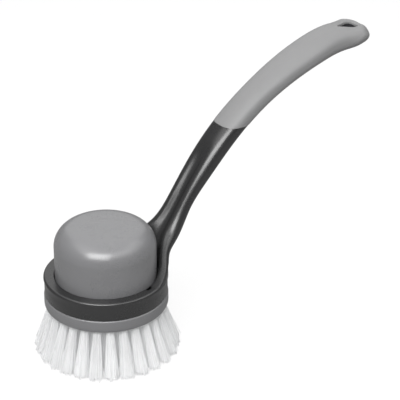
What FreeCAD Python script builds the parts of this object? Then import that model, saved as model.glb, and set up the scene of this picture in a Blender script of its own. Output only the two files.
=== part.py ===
"""Dish brush with a long arched handle and a round head that pushes out of the handle's ring.

Millimetres, +Z up. The origin is on the head's axis in the plane of the bristle tips, and the handle
reaches along +X. The handle lies in the XZ plane, and the whole brush is alike on both sides of it.
"""
import FreeCAD
import Part
import Sketcher
import math
import os

# Driving dimensions in millimetres and degrees, in the order of the pieces that they belong to.
SIZES = {
    # dome
    "dome_radius": 27.1,
    "dome_rise": 28.6,
    "dome_edge_round": 12.0,
    "dome_crown": 1.5,
    "dome_wall": 2.2,
    # collar ring of the handle
    "collar_gap": 0.3,
    "collar_wall": 5.35,
    "collar_height": 10.4,
    "collar_lip": 0.4,
    "collar_lip_height": 3.0,
    "collar_edge": 0.6,
    # keys on the dome and their slots in the collar
    "key_angle": 72.0,
    "key_width": 3.0,
    "key_depth": 1.5,
    "key_gap": 0.3,
    "key_drop": 1.6,
    # tuft plate
    "seat_gap": 0.1,
    "plate_overhang": 0.35,
    "plate_rim": 7.4,
    "plate_edge_round": 2.2,
    "plate_top_edge": 0.5,
    "spigot_height": 4.5,
    "spigot_gap": 0.05,
    # tufts and the wire anchors that hold them
    "tuft_drop": 26.0,
    "tuft_hole_radius": 2.2,
    "tuft_hole_depth": 5.5,
    "tuft_gap": 0.05,
    "tuft_edge": 4.5,
    "outer_lean_angle": 15.0,
    "second_lean_angle": 9.0,
    "third_lean_angle": 6.0,
    "inner_lean_angle": 3.0,
    "anchor_thickness": 0.4,
    "anchor_depth": 1.6,
    "anchor_gap": 0.05,
    # foot of the neck, which stands on the collar and is sunk in it
    "foot_sink": 0.5,
    "foot_inset": 0.6,
    "foot_half_width": 24.0,
    # neck and grip: each station's step along and up from the one before, and its section
    "flare_run": 1.5,
    "flare_climb": 4.0,
    "flare_half_width": 17.6,
    "flare_thickness": 5.0,
    "flare_dish": 5.6,
    "shoulder_run": 6.3,
    "shoulder_climb": 7.7,
    "shoulder_half_width": 11.0,
    "shoulder_thickness": 7.6,
    "shoulder_dish": 3.6,
    "throat_run": 11.2,
    "throat_climb": 16.1,
    "throat_half_width": 8.0,
    "throat_thickness": 8.4,
    "throat_dish": 3.0,
    "neck_run": 11.2,
    "neck_climb": 14.8,
    "neck_half_width": 8.7,
    "neck_thickness": 10.3,
    "neck_dish": 2.0,
    "junction_run": 16.5,
    "junction_climb": 17.6,
    "junction_half_width": 9.3,
    "junction_thickness": 11.2,
    "junction_dish": 0.3,
    "junction_lift": 1.5,
    "junction_slant_angle": -2.0,
    "palm_run": 27.1,
    "palm_climb": 19.6,
    "palm_half_width": 9.6,
    "palm_thickness": 11.4,
    "crest_run": 32.6,
    "crest_climb": 13.7,
    "crest_half_width": 10.8,
    "crest_thickness": 12.4,
    "eye_run": 19.6,
    "eye_climb": 2.9,
    "eye_half_width": 11.1,
    "eye_thickness": 12.2,
    "eye_dish": 1.3,
    "nose_run": 9.1,
    "nose_climb": 0.7,
    "nose_half_width": 10.6,
    "nose_thickness": 11.0,
    "nose_dish": 2.4,
    "tip_run": 7.3,
    "tip_climb": 0.9,
    "tip_half_width": 8.6,
    "tip_thickness": 8.6,
    "tip_dish": 1.9,
    "tip_round": 7.2,
    # soft sleeve over the tang, and the hanging hole
    "sleeve_wall": 2.4,
    "tang_tip_gap": 2.4,
    "hang_round": 4.1,
    "hang_point": 9.2,
    "hang_setback": 8.4,
    "tang_eye_gap": 0.3,
    # length by which every cutting shape passes the solid that it cuts
    "overrun": 6.0,
}

# Shares of a section's outline: how square its corners are, and how many points it is drawn through.
SECTION_SQUARENESS_SHARE = 2.6
SECTION_POINTS = 16
# Rounds of the sum that finds a closed curve's control points; each brings them three times closer.
RING_SWEEPS = 40
# Places of the sections that round off the tip and the end of the tang, as shares, and how blunt the tip is.
TIP_PLACE_SHARES = (0.5, 0.8, 0.95, 0.995)
TANG_TIP_SHARES = (0.5, 0.8, 0.95)
TIP_PLAN_SHARE = 2.6
TIP_SIDE_SHARE = 2.3

doc = FreeCAD.newDocument("dish_brush")
sheet = doc.addObject("Spreadsheet::Sheet", "sizes")
for line, (alias, number) in enumerate(SIZES.items(), start=1):
    sheet.set(f"A{line}", alias)
    sheet.set(f"B{line}", str(number))
    sheet.setAlias(f"B{line}", alias)
doc.recompute()

# Sizes worked out from the driving ones, as expressions on the sheet.
PLATE_FLOOR = "sizes.tuft_drop"
PLATE_TOP = f"({PLATE_FLOOR} + sizes.plate_rim)"
COLLAR_FLOOR = f"({PLATE_TOP} + sizes.seat_gap)"
COLLAR_TOP = f"({COLLAR_FLOOR} + sizes.collar_height)"
COLLAR_BORE = "(sizes.dome_radius + sizes.collar_gap)"
COLLAR_RADIUS = f"({COLLAR_BORE} + sizes.collar_wall)"
COLLAR_MIDDLE = f"({COLLAR_BORE} + sizes.collar_wall / 2)"
DOME_SHOULDER = f"({COLLAR_TOP} + sizes.dome_rise - sizes.dome_crown)"
DOME_INSIDE = "(sizes.dome_radius - sizes.dome_wall)"
PLATE_RADIUS = f"({COLLAR_RADIUS} + sizes.plate_overhang)"
OUTER_RING = f"({PLATE_RADIUS} - sizes.tuft_edge)"
TUFT_ROOT = "(sizes.tuft_hole_radius - sizes.tuft_gap)"


def value(expression):
    """The number that an expression on the sheet stands for."""
    return float(sheet.evalExpression(expression))


def add(kind, name):
    """A new object of the document."""
    return doc.addObject(kind, name)


def bind(thing, **expressions):
    """Ties an object's properties to the sheet; two underscores stand for a dot in the property's name."""
    for prop, expression in expressions.items():
        thing.setExpression(prop.replace("__", "."), expression)


def origin_plane(body, role):
    """One of a body's own origin planes or axes."""
    return next(f for f in body.Origin.OriginFeatures if f.Role == role)


def lathe_body(label, outline, crown=None):
    """A body turned about Z from an outline of radius and height expressions.

    crown is the height expression of a domed end: an arc from the outline's last corner to the axis.
    """
    body = add("PartDesign::Body", label)
    sketch = body.newObject("Sketcher::SketchObject", f"{label}_outline")
    sketch.AttachmentSupport = [(origin_plane(body, "XZ_Plane"), "")]
    sketch.MapMode = "FlatFace"
    corners = [FreeCAD.Vector(value(r), value(z), 0) for r, z in outline]
    sides = list(zip(corners, corners[1:] + corners[:1]))
    if crown is not None:
        peak = FreeCAD.Vector(0, value(crown), 0)
        sides[-1] = (peak, corners[0])
    first = [sketch.addGeometry(Part.LineSegment(a, b), False) for a, b in sides]
    if crown is not None:
        edge = corners[-1]
        ball = (edge.x ** 2 + (peak.y - edge.y) ** 2) / (2 * (peak.y - edge.y))
        middle = FreeCAD.Vector(0, peak.y - ball, 0)
        start = math.atan2(edge.y - middle.y, edge.x)
        circle = Part.Circle(middle, FreeCAD.Vector(0, 0, 1), ball)
        arc = sketch.addGeometry(Part.ArcOfCircle(circle, start, math.pi / 2), False)
        sketch.addConstraint(Sketcher.Constraint("Coincident", first[-2], 2, arc, 1))
        sketch.addConstraint(Sketcher.Constraint("Coincident", arc, 2, first[-1], 1))
        sketch.addConstraint(Sketcher.Constraint("PointOnObject", arc, 3, -2))
        sketch.addConstraint(Sketcher.Constraint("PointOnObject", arc, 2, -2))
        fix_height(sketch, arc, 2, crown)
        joints = [(first[i], first[i + 1]) for i in range(len(first) - 2)] + [(first[-1], first[0])]
    else:
        joints = list(zip(first, first[1:] + first[:1]))
    for a, b in joints:
        sketch.addConstraint(Sketcher.Constraint("Coincident", a, 2, b, 1))
    for side, (radius, height) in enumerate(outline):
        last_crowned = crown is not None and side == len(outline) - 1
        geometry, end = (first[side - 1], 2) if last_crowned else (first[side], 1)
        if value(radius) > 0:
            fix_radius(sketch, geometry, end, radius)
        else:
            sketch.addConstraint(Sketcher.Constraint("PointOnObject", geometry, end, -2))
        fix_height(sketch, geometry, end, height)
    turned = body.newObject("PartDesign::Revolution", f"{label}_turned")
    turned.Profile = sketch
    turned.ReferenceAxis = (sketch, ["V_Axis"])
    turned.Angle = 360
    doc.recompute()
    return body


def fix_radius(sketch, geometry, end, expression):
    """Holds a point of a sketch at a distance from the axis."""
    index = sketch.addConstraint(Sketcher.Constraint("DistanceX", -1, 1, geometry, end, value(expression)))
    sketch.setExpression(f"Constraints[{index}]", expression)


def fix_height(sketch, geometry, end, expression):
    """Holds a point of a sketch at a height above the origin."""
    index = sketch.addConstraint(Sketcher.Constraint("DistanceY", -1, 1, geometry, end, value(expression)))
    sketch.setExpression(f"Constraints[{index}]", expression)


def ring_edge(body, radius, height):
    """Name of the circular edge of a turned body at a radius and height."""
    wanted = (value(radius), value(height))

    def miss(edge):
        if edge.Degenerated or not isinstance(edge.Curve, Part.Circle):
            return math.inf
        return math.hypot(edge.Curve.Radius - wanted[0], edge.Curve.Center.z - wanted[1])

    misses = [miss(edge) for edge in body.Shape.Edges]
    return f"Edge{misses.index(min(misses)) + 1}"


def round_edge(body, name, edge, radius):
    """A fillet on one edge of a body."""
    base = body.Tip
    fillet = body.newObject("PartDesign::Fillet", name)
    fillet.Base = (base, [edge])
    bind(fillet, Radius=radius)
    doc.recompute()


def key_blocks(body, kind, names, depth, width, floor, top):
    """Two upright blocks, alike on both sides of the handle, that start inside the dome's wall."""
    for name, angle in zip(names, ("sizes.key_angle", "-sizes.key_angle")):
        block = body.newObject(kind, name)
        block.Placement = FreeCAD.Placement(FreeCAD.Vector(), FreeCAD.Rotation(FreeCAD.Vector(0, 0, 1), 1))
        inner = f"({DOME_INSIDE} + sizes.dome_wall / 2)"
        bind(
            block,
            Length=f"sizes.dome_wall / 2 + {depth}",
            Width=width,
            Height=f"{top} - {floor}",
            Placement__Rotation__Angle=f"{angle} * 1deg",
            Placement__Base__x=f"{inner} * cos({angle} * 1deg) + {width} / 2 * sin({angle} * 1deg)",
            Placement__Base__y=f"{inner} * sin({angle} * 1deg) - {width} / 2 * cos({angle} * 1deg)",
            Placement__Base__z=floor,
        )
        body.Tip = block
    doc.recompute()


def dome_form(label, inset, floor):
    """Solid dome with a rounded edge and a slightly domed top, drawn in by inset."""
    radius = f"(sizes.dome_radius - {inset})"
    shoulder = f"({DOME_SHOULDER} - {inset})"
    outline = [("0", floor), (radius, floor), (radius, shoulder)]
    body = lathe_body(label, outline, crown=f"{shoulder} + sizes.dome_crown")
    round_edge(body, f"{label}_edge", ring_edge(body, radius, shoulder), f"sizes.dome_edge_round - {inset}")
    return body


def make_dome():
    """Hollow dome, open below, with the two keys that stop it turning in the collar."""
    outside = dome_form("dome_outside", "0", PLATE_TOP)
    inside = dome_form("dome_inside", "sizes.dome_wall", f"({PLATE_TOP} - sizes.overrun)")
    top = f"({COLLAR_TOP} - sizes.key_drop)"
    floor = f"({COLLAR_FLOOR} + sizes.key_drop)"
    names = ("dome_key_left", "dome_key_right")
    key_blocks(outside, "PartDesign::AdditiveBox", names, "sizes.key_depth", "sizes.key_width", floor, top)
    return cut("palm_dome", outside, inside)


def make_collar():
    """Ring of the handle, with a lip round its top and two slots for the dome's keys."""
    lip = f"({COLLAR_RADIUS} + sizes.collar_lip)"
    outline = [
        (COLLAR_BORE, COLLAR_FLOOR),
        (COLLAR_RADIUS, COLLAR_FLOOR),
        (COLLAR_RADIUS, f"{COLLAR_TOP} - sizes.collar_lip_height"),
        (lip, f"{COLLAR_TOP} - sizes.collar_edge"),
        (f"{lip} - sizes.collar_edge", COLLAR_TOP),
        (COLLAR_BORE, COLLAR_TOP),
    ]
    body = lathe_body("collar_ring", outline)
    depth = "(sizes.key_depth + sizes.key_gap)"
    width = "(sizes.key_width + 2 * sizes.key_gap)"
    floor = f"({COLLAR_FLOOR} - sizes.overrun)"
    top = f"({COLLAR_TOP} + sizes.overrun)"
    names = ("key_slot_left", "key_slot_right")
    key_blocks(body, "PartDesign::SubtractiveBox", names, depth, width, floor, top)
    return body


# Number of tufts in each ring, from the rim to the centre.
TUFT_COUNTS = {"outer": 27, "second_ring": 20, "third_ring": 13, "inner_ring": 7, "centre": 1}
# Radius of each ring as a share of the outer ring's.
RING_SHARES = {"outer": 1.0, "second_ring": 0.75, "third_ring": 0.5, "inner_ring": 0.25, "centre": 0.0}
# How far the tufts of each ring lean outwards.
RING_LEANS = {
    "outer": "sizes.outer_lean_angle",
    "second_ring": "sizes.second_lean_angle",
    "third_ring": "sizes.third_lean_angle",
    "inner_ring": "sizes.inner_lean_angle",
    "centre": "0",
}
RINGS = [(name, RING_SHARES[name], TUFT_COUNTS[name], RING_LEANS[name]) for name in TUFT_COUNTS]
# Corners of a tuft's outline, and how much of the room between neighbours a tuft's tip fills.
TUFT_CORNERS = 8
TUFT_FILL_SHARE = 0.9


def ring_reach(ring):
    """Length of a ring's tufts from the plate to their tips."""
    return f"(sizes.tuft_drop / cos({ring[3]} * 1deg))"


def tip_size(ring):
    """Radius of a ring's tufts at their tips, from the room on the ring; the centre's is the next ring's."""
    spaced = RINGS[-2] if ring[2] == 1 else ring
    name, share, count, angle = spaced
    circle = f"({share} * {OUTER_RING} + sizes.tuft_drop * tan({angle} * 1deg))"
    return f"({TUFT_FILL_SHARE} * {circle} * sin(180deg / {count}))"


def lean(thing, ring, across, side, along):
    """Places an object by its steps across, beside and along the axis of a ring's first tuft hole."""
    name, share, count, angle = ring
    turn = f"({angle} * 1deg)"
    thing.Placement = FreeCAD.Placement(FreeCAD.Vector(), FreeCAD.Rotation(FreeCAD.Vector(0, 1, 0), 1))
    bind(
        thing,
        Placement__Base__x=f"{share} * {OUTER_RING} + {across} * cos{turn} - {along} * sin{turn}",
        Placement__Base__y=side,
        Placement__Base__z=f"{PLATE_FLOOR} + {across} * sin{turn} + {along} * cos{turn}",
        Placement__Rotation__Angle=f"-{turn}",
    )


def make_plate():
    """Tuft plate: a rounded rim under the collar, a spigot inside the dome and the drilled tuft holes."""
    spigot = f"({DOME_INSIDE} - sizes.spigot_gap)"
    outline = [
        ("0", PLATE_FLOOR),
        (PLATE_RADIUS, PLATE_FLOOR),
        (PLATE_RADIUS, f"{PLATE_TOP} - sizes.plate_top_edge"),
        (f"{PLATE_RADIUS} - sizes.plate_top_edge", PLATE_TOP),
        (spigot, PLATE_TOP),
        (spigot, f"{PLATE_TOP} + sizes.spigot_height"),
        ("0", f"{PLATE_TOP} + sizes.spigot_height"),
    ]
    body = lathe_body("tuft_plate", outline)
    round_edge(body, "plate_edge", ring_edge(body, PLATE_RADIUS, PLATE_FLOOR), "sizes.plate_edge_round")
    axis = origin_plane(body, "Z_Axis")
    for ring in RINGS:
        hole = body.newObject("PartDesign::SubtractiveCylinder", f"{ring[0]}_hole")
        lean(hole, ring, "0", "0", "-sizes.overrun")
        bind(hole, Radius="sizes.tuft_hole_radius", Height="sizes.tuft_hole_depth + sizes.overrun")
        body.Tip = hole
        doc.recompute()
        if ring[2] > 1:
            pattern = body.newObject("PartDesign::PolarPattern", f"{ring[0]}_holes")
            pattern.Originals = [hole]
            pattern.Axis = (axis, [""])
            pattern.Angle = 360
            pattern.Occurrences = ring[2]
            body.Tip = pattern
            doc.recompute()
    return body


def make_tuft(ring, ground):
    """First tuft of a ring: bound round in its hole, flaring to its trimmed tip, folded over its anchor."""
    name = ring[0]
    reach = ring_reach(ring)
    growth = f"(({tip_size(ring)} - {TUFT_ROOT}) / {reach})"
    places = [
        ("root", TUFT_ROOT, "sizes.tuft_hole_depth"),
        ("mouth", TUFT_ROOT, "0"),
        ("tip", f"({TUFT_ROOT} + {growth} * ({reach} + sizes.overrun))", f"-({reach} + sizes.overrun)"),
    ]
    sections = []
    for place, size, along in places:
        outline = add("Part::RegularPolygon", f"{name}_{place}")
        lean(outline, ring, "0", "0", along)
        outline.Polygon = TUFT_CORNERS
        bind(outline, Circumradius=size)
        sections.append(outline)
    bundle = add("Part::Loft", f"{name}_bundle")
    bundle.Sections = sections
    bundle.Solid = True
    bundle.Ruled = True
    slot = add("Part::Box", f"{name}_fold")
    room = "(sizes.anchor_thickness + 2 * sizes.anchor_gap)"
    side = "(2 * sizes.tuft_hole_radius)"
    fold = "(sizes.tuft_hole_depth - sizes.anchor_depth - sizes.anchor_gap)"
    lean(slot, ring, f"(-{room} / 2)", f"(-{side} / 2)", fold)
    bind(slot, Length=room, Width=side, Height="sizes.anchor_depth + sizes.anchor_gap + sizes.overrun")
    folded = add("Part::Cut", f"{name}_folded")
    folded.Base = bundle
    folded.Tool = slot
    trimmed = add("Part::Cut", f"{name}_trimmed")
    trimmed.Base = folded
    trimmed.Tool = ground
    return trimmed


def make_anchor(ring):
    """First wire anchor of a ring: a short flat blade across the bottom of the tuft hole."""
    name = ring[0]
    blade = add("Part::Box", f"{name}_blade")
    half_length = f"({TUFT_ROOT} * cos(180deg / {TUFT_CORNERS}))"
    lean(
        blade,
        ring,
        "(-sizes.anchor_thickness / 2)",
        f"(-{half_length})",
        "(sizes.tuft_hole_depth - sizes.anchor_depth)",
    )
    bind(blade, Length="sizes.anchor_thickness", Width=f"2 * {half_length}", Height="sizes.anchor_depth")
    return blade


def turned_copies(first, count):
    """Copies of a shape spread evenly round the head's axis."""
    copies = []
    for place in range(count):
        copy = first.copy()
        copy.rotate(FreeCAD.Vector(), FreeCAD.Vector(0, 0, 1), 360 * place / count)
        copies.append(copy)
    return copies


def finished(label, shape):
    """A sub-part whose shape is ready made."""
    piece = add("Part::Feature", label)
    piece.Shape = shape
    return piece


def make_bristles():
    """All tufts and anchors: the outer tufts one by one, the inner rings as groups."""
    ground = add("Part::Box", "ground")
    reach = value(f"2 * {PLATE_RADIUS}")
    ground.Placement = FreeCAD.Placement(FreeCAD.Vector(-reach, -reach, 0), FreeCAD.Rotation())
    bind(
        ground,
        Length=f"4 * {PLATE_RADIUS}",
        Width=f"4 * {PLATE_RADIUS}",
        Height="3 * sizes.overrun",
        Placement__Base__z="-3 * sizes.overrun",
    )
    first_tufts = [make_tuft(ring, ground) for ring in RINGS]
    first_anchors = [make_anchor(ring) for ring in RINGS]
    doc.recompute()
    pieces = []
    for ring, tuft, anchor in zip(RINGS, first_tufts, first_anchors):
        name, share, count, angle = ring
        tufts = turned_copies(tuft.Shape, count)
        anchors = turned_copies(anchor.Shape, count)
        if name == "outer":
            pieces += [finished(f"outer_tuft_{i:02d}", shape) for i, shape in enumerate(tufts, start=1)]
            pieces.append(finished("outer_anchors", Part.makeCompound(anchors)))
        elif count > 1:
            pieces.append(finished(f"{name}_tufts", Part.makeCompound(tufts)))
            pieces.append(finished(f"{name}_anchors", Part.makeCompound(anchors)))
        else:
            pieces.append(finished(f"{name}_tuft", tufts[0]))
            pieces.append(finished(f"{name}_anchor", anchors[0]))
    return pieces


def section(place, along, half_width, thickness, dish):
    """Closed outline of the handle square to its path: a rounded bar, bent hollow above by dish."""
    normal = FreeCAD.Vector(-along.z, 0, along.x)
    side = FreeCAD.Vector(0, 1, 0)
    power = 2 / SECTION_SQUARENESS_SHARE
    bend = (half_width ** 2 + dish ** 2) / (2 * dish) if dish > 0 else None
    points = []
    for step in range(SECTION_POINTS):
        angle = 2 * math.pi * step / SECTION_POINTS
        across = math.copysign(abs(math.cos(angle)) ** power, math.cos(angle))
        upward = math.copysign(abs(math.sin(angle)) ** power, math.sin(angle)) * thickness / 2
        if bend is None:
            sideways, height = half_width * across, upward
        else:
            swing = math.asin(half_width / bend) * across
            sideways = (bend - upward) * math.sin(swing)
            height = bend - (bend - upward) * math.cos(swing)
        points.append(place + side * sideways + normal * height)
    return points


def ring_poles(points):
    """Control points of the smooth closed curve through evenly spaced points."""
    count = len(points)
    poles = list(points)
    for sweep in range(RING_SWEEPS):
        poles = [(points[i] * 6 - poles[i - 1] - poles[(i + 1) % count]) * 0.25 for i in range(count)]
    return poles


def skin(sections, upright):
    """Solid with a smooth side through all sections; upright makes its middle start straight up."""
    centres = [sum(points, FreeCAD.Vector()) * (1 / len(points)) for points in sections]
    reach = [0.0]
    for before, after in zip(centres, centres[1:]):
        reach.append(reach[-1] + (after - before).Length)
    lean_out = FreeCAD.Vector((centres[1] - centres[0]).x, 0, 0)
    columns = list(zip(*[ring_poles(points) for points in sections]))
    grid = []
    for column in columns:
        curve = Part.BSplineCurve()
        if upright:
            start = (column[1] - column[0] - lean_out) * (1 / reach[1])
            tangents = [start] * len(column)
            flags = [place == 0 for place in range(len(column))]
            curve.interpolate(
                Points=list(column),
                Parameters=reach,
                Tangents=tangents,
                TangentFlags=flags,
                Scale=False,
            )
        else:
            curve.interpolate(Points=list(column), Parameters=reach)
        grid.append(curve.getPoles())
    count = len(columns)
    surface = Part.BSplineSurface()
    surface.buildFromPolesMultsKnots(
        grid,
        [1] * (count + 1),
        curve.getMultiplicities(),
        [float(knot) for knot in range(count + 1)],
        curve.getKnots(),
        True,
        False,
        3,
        curve.Degree,
    )
    side = surface.toShape()
    ends = [Part.Face(Part.Wire([edge])) for edge in side.Edges if edge.isClosed()]
    shell = Part.makeShell([side] + ends)
    shell.sewShape()
    solid = Part.makeSolid(shell)
    if solid.Volume < 0:
        solid.reverse()
    return solid


# Stations of the handle from the ring to the tip, and those that the tang passes.
STATIONS = ("flare", "shoulder", "throat", "neck", "junction", "palm", "crest", "eye", "nose", "tip")
TANG_STATIONS = ("neck", "junction", "palm", "crest", "eye")


def station_size(station, what):
    """A named size of a station, or zero where the station has none."""
    name = f"{station}_{what}"
    return value(f"sizes.{name}") if name in SIZES else 0.0


def handle_path():
    """Centre line of the neck and grip, from the collar to the tip, and its stations."""
    place = FreeCAD.Vector(value(COLLAR_MIDDLE), 0, value(COLLAR_TOP))
    places = {"root": place}
    for station in STATIONS:
        step = FreeCAD.Vector(station_size(station, "run"), 0, station_size(station, "climb"))
        place = place + step
        places[station] = place
    curve = Part.BSplineCurve()
    curve.interpolate(Points=list(places.values()))
    return curve.toShape(), places


def direction(path, place):
    """Direction of the path at a point on it."""
    return path.tangentAt(path.Curve.parameter(place)).normalize()


def station_section(path, places, station, inset):
    """Section of the handle at a station, drawn in by inset all round."""
    half_width = station_size(station, "half_width") - inset
    thickness = station_size(station, "thickness") - 2 * inset
    dish = station_size(station, "dish") if inset == 0 else 0.0
    return section(places[station], direction(path, places[station]), half_width, thickness, dish)


def foot_section():
    """Level section of the neck's foot: a piece of the collar's ring, drawn in on both sides."""
    middle = value(COLLAR_MIDDLE)
    half_width = value("sizes.foot_half_width")
    return section(
        FreeCAD.Vector(middle, 0, value(f"{COLLAR_TOP} - sizes.foot_sink")),
        FreeCAD.Vector(0, 0, 1),
        half_width,
        value("sizes.collar_wall - 2 * sizes.foot_inset"),
        middle - math.sqrt(middle ** 2 - half_width ** 2),
    )


def tip_sections(path, inset, shares, end_gap):
    """Sections that round off the tip, ending short of the path's end by end_gap."""
    length = value("sizes.tip_round") - end_gap
    wires = []
    for share in shares:
        distance = path.Length - value("sizes.tip_round") + length * share
        parameter = path.getParameterByLength(distance)
        fullness = (1 - share ** TIP_SIDE_SHARE) ** (1 / TIP_SIDE_SHARE)
        breadth = (1 - share ** TIP_PLAN_SHARE) ** (1 / TIP_PLAN_SHARE)
        wires.append(
            section(
                path.valueAt(parameter),
                path.tangentAt(parameter).normalize(),
                (station_size("tip", "half_width") - inset) * breadth,
                (station_size("tip", "thickness") - 2 * inset) * fullness,
                station_size("tip", "dish") * fullness if inset == 0 else 0.0,
            )
        )
    return wires


def make_handle():
    """Handle frame and grip sleeve, which share one arched outside form and part at a slanted junction."""
    path, places = handle_path()
    outside = [foot_section()]
    outside += [station_section(path, places, station, 0) for station in STATIONS[:-1]]
    outside += tip_sections(path, 0, TIP_PLACE_SHARES, 0)
    blank = add("Part::Feature", "handle_blank")
    blank.Shape = skin(outside, True)
    wall = value("sizes.sleeve_wall")
    inside = [station_section(path, places, station, wall) for station in TANG_STATIONS]
    inside += tip_sections(path, wall, (0.0,), 0)
    inside += tip_sections(path, wall, TANG_TIP_SHARES, value("sizes.tang_tip_gap"))
    bar = add("Part::Feature", "tang_bar")
    bar.Shape = skin(inside, False)

    eye = places["tip"] - FreeCAD.Vector(value("sizes.hang_setback"), 0, 0)
    eye_round = "(sizes.hang_round + sizes.tang_eye_gap)"
    eye_point = "(sizes.hang_point + sizes.tang_eye_gap)"
    tang = cut("tang", bar, teardrop("tang_eye", eye, eye_round, eye_point))
    hanging_hole = teardrop("hanging_hole", eye, "sizes.hang_round", "sizes.hang_point")

    along = direction(path, places["junction"])
    half_thickness = station_size("junction", "thickness") / 2
    top = places["junction"] + FreeCAD.Vector(-along.z, 0, along.x) * half_thickness
    top.z += value("sizes.junction_lift")
    region = add("Part::Box", "grip_region")
    slant = -value("sizes.junction_slant_angle")
    turn = FreeCAD.Rotation(FreeCAD.Vector(0, 1, 0), slant)
    room = 2 * value("sizes.eye_half_width")
    region.Placement = FreeCAD.Placement(top - turn.multVec(FreeCAD.Vector(room, room, 0)), turn)
    region.Length = path.Length + room
    region.Width = 2 * room
    region.Height = path.Length

    outside_grip = add("Part::Common", "grip_outside")
    outside_grip.Base = blank
    outside_grip.Tool = region
    sleeve = cut("grip_sleeve", cut("grip_shell", outside_grip, bar), hanging_hole)

    neck = cut("neck", blank, region)
    joined = add("Part::MultiFuse", "frame_joined")
    joined.Shapes = [make_collar(), neck, tang]
    joined.Refine = True
    bore = add("Part::Cylinder", "collar_bore")
    bind(
        bore,
        Radius=COLLAR_BORE,
        Height=f"{DOME_SHOULDER} + sizes.overrun - {PLATE_TOP}",
        Placement__Base__z=PLATE_TOP,
    )
    frame = cut("handle_frame", joined, bore)
    doc.recompute()
    return [frame, sleeve]


def teardrop(name, place, radius, point):
    """Upright prism of a teardrop: round towards the handle's tip, pointed towards the head."""
    body = add("PartDesign::Body", name)
    sketch = body.newObject("Sketcher::SketchObject", f"{name}_outline")
    sketch.AttachmentSupport = [(origin_plane(body, "XY_Plane"), "")]
    sketch.MapMode = "FlatFace"
    round_size, point_size = value(radius), value(point)
    half = math.pi - math.acos(round_size / point_size)
    circle = Part.Circle(FreeCAD.Vector(), FreeCAD.Vector(0, 0, 1), round_size)
    arc = sketch.addGeometry(Part.ArcOfCircle(circle, -half, half), False)
    tip = FreeCAD.Vector(-point_size, 0, 0)
    ends = [FreeCAD.Vector(math.cos(a) * round_size, math.sin(a) * round_size, 0) for a in (half, -half)]
    upper = sketch.addGeometry(Part.LineSegment(ends[0], tip), False)
    lower = sketch.addGeometry(Part.LineSegment(tip, ends[1]), False)
    sketch.addConstraint(Sketcher.Constraint("Coincident", arc, 3, -1, 1))
    sketch.addConstraint(Sketcher.Constraint("Tangent", arc, 2, upper, 1))
    sketch.addConstraint(Sketcher.Constraint("Tangent", arc, 1, lower, 2))
    sketch.addConstraint(Sketcher.Constraint("Coincident", upper, 2, lower, 1))
    sketch.addConstraint(Sketcher.Constraint("PointOnObject", upper, 2, -1))
    index = sketch.addConstraint(Sketcher.Constraint("Radius", arc, round_size))
    sketch.setExpression(f"Constraints[{index}]", radius)
    index = sketch.addConstraint(Sketcher.Constraint("DistanceX", upper, 2, -1, 1, point_size))
    sketch.setExpression(f"Constraints[{index}]", point)
    pad = body.newObject("PartDesign::Pad", f"{name}_prism")
    pad.Profile = sketch
    pad.Midplane = True
    bind(pad, Length="2 * (sizes.eye_thickness + sizes.overrun)")
    body.Placement = FreeCAD.Placement(place, FreeCAD.Rotation())
    doc.recompute()
    return body


def cut(name, base, tool):
    """One shape less another."""
    result = add("Part::Cut", name)
    result.Base = base
    result.Tool = tool
    return result


pieces = make_handle() + [make_dome(), make_plate()] + make_bristles()
doc.recompute()

for thing in doc.Objects:
    if "Invalid" in thing.State or "Error" in thing.State:
        raise RuntimeError(f"{thing.Label} did not build: {thing.State}")
for piece in pieces:
    if piece.Shape.isNull() or not piece.Shape.isValid():
        raise RuntimeError(f"{piece.Label} has no valid shape")

os.makedirs("parts", exist_ok=True)
for piece in pieces:
    piece.Shape.exportStep(os.path.join("parts", f"{piece.Label}.step"))
    box = piece.Shape.optimalBoundingBox(False)
    print(piece.Label, len(piece.Shape.Solids), "solids", round(piece.Shape.Volume), "mm3")
    print("  from", [round(edge, 1) for edge in (box.XMin, box.YMin, box.ZMin)])
    print("  to", [round(edge, 1) for edge in (box.XMax, box.YMax, box.ZMax)])
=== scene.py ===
"""Dish brush with a push-out round head: its visible pieces, their finishes and a plain studio.

Laid out as an add-on and run as a script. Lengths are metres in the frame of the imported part: the origin
is on the head's axis in the plane of the bristle tips, +Z is up and the handle reaches along +X.
"""
import math
import random

import bmesh
import bpy
import numpy as np
from bpy.props import FloatProperty, FloatVectorProperty, PointerProperty
from mathutils import Matrix, Vector
from mathutils.bvhtree import BVHTree


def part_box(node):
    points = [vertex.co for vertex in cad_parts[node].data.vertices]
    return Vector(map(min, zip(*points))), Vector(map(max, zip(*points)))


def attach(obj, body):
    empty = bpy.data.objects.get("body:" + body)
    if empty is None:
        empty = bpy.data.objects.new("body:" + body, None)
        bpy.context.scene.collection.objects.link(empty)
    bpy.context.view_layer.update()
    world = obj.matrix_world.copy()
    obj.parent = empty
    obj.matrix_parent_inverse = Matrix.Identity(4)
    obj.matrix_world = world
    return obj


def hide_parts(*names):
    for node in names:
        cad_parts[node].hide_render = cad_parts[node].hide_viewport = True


bl_info = {
    "name": "Dish brush",
    "version": (1, 0, 0),
    "blender": (4, 5, 0),
    "location": "3D View > Sidebar > Dish brush",
    "description": "Models the pieces of a dish brush with a push-out head and gives them their finishes",
    "category": "Add Mesh",
}

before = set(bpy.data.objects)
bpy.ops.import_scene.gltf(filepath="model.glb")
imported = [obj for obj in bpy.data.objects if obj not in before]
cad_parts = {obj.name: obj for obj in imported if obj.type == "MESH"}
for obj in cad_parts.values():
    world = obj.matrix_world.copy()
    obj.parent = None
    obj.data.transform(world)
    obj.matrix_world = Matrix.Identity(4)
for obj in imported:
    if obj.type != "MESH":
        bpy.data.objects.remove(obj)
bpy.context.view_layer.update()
MM = 0.001
# Steps in a full turn of a turned piece, and in the arcs of the dome's crown and edge.
TURN_STEPS = 240
CROWN_STEPS = 12
EDGE_STEPS = 24
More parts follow.
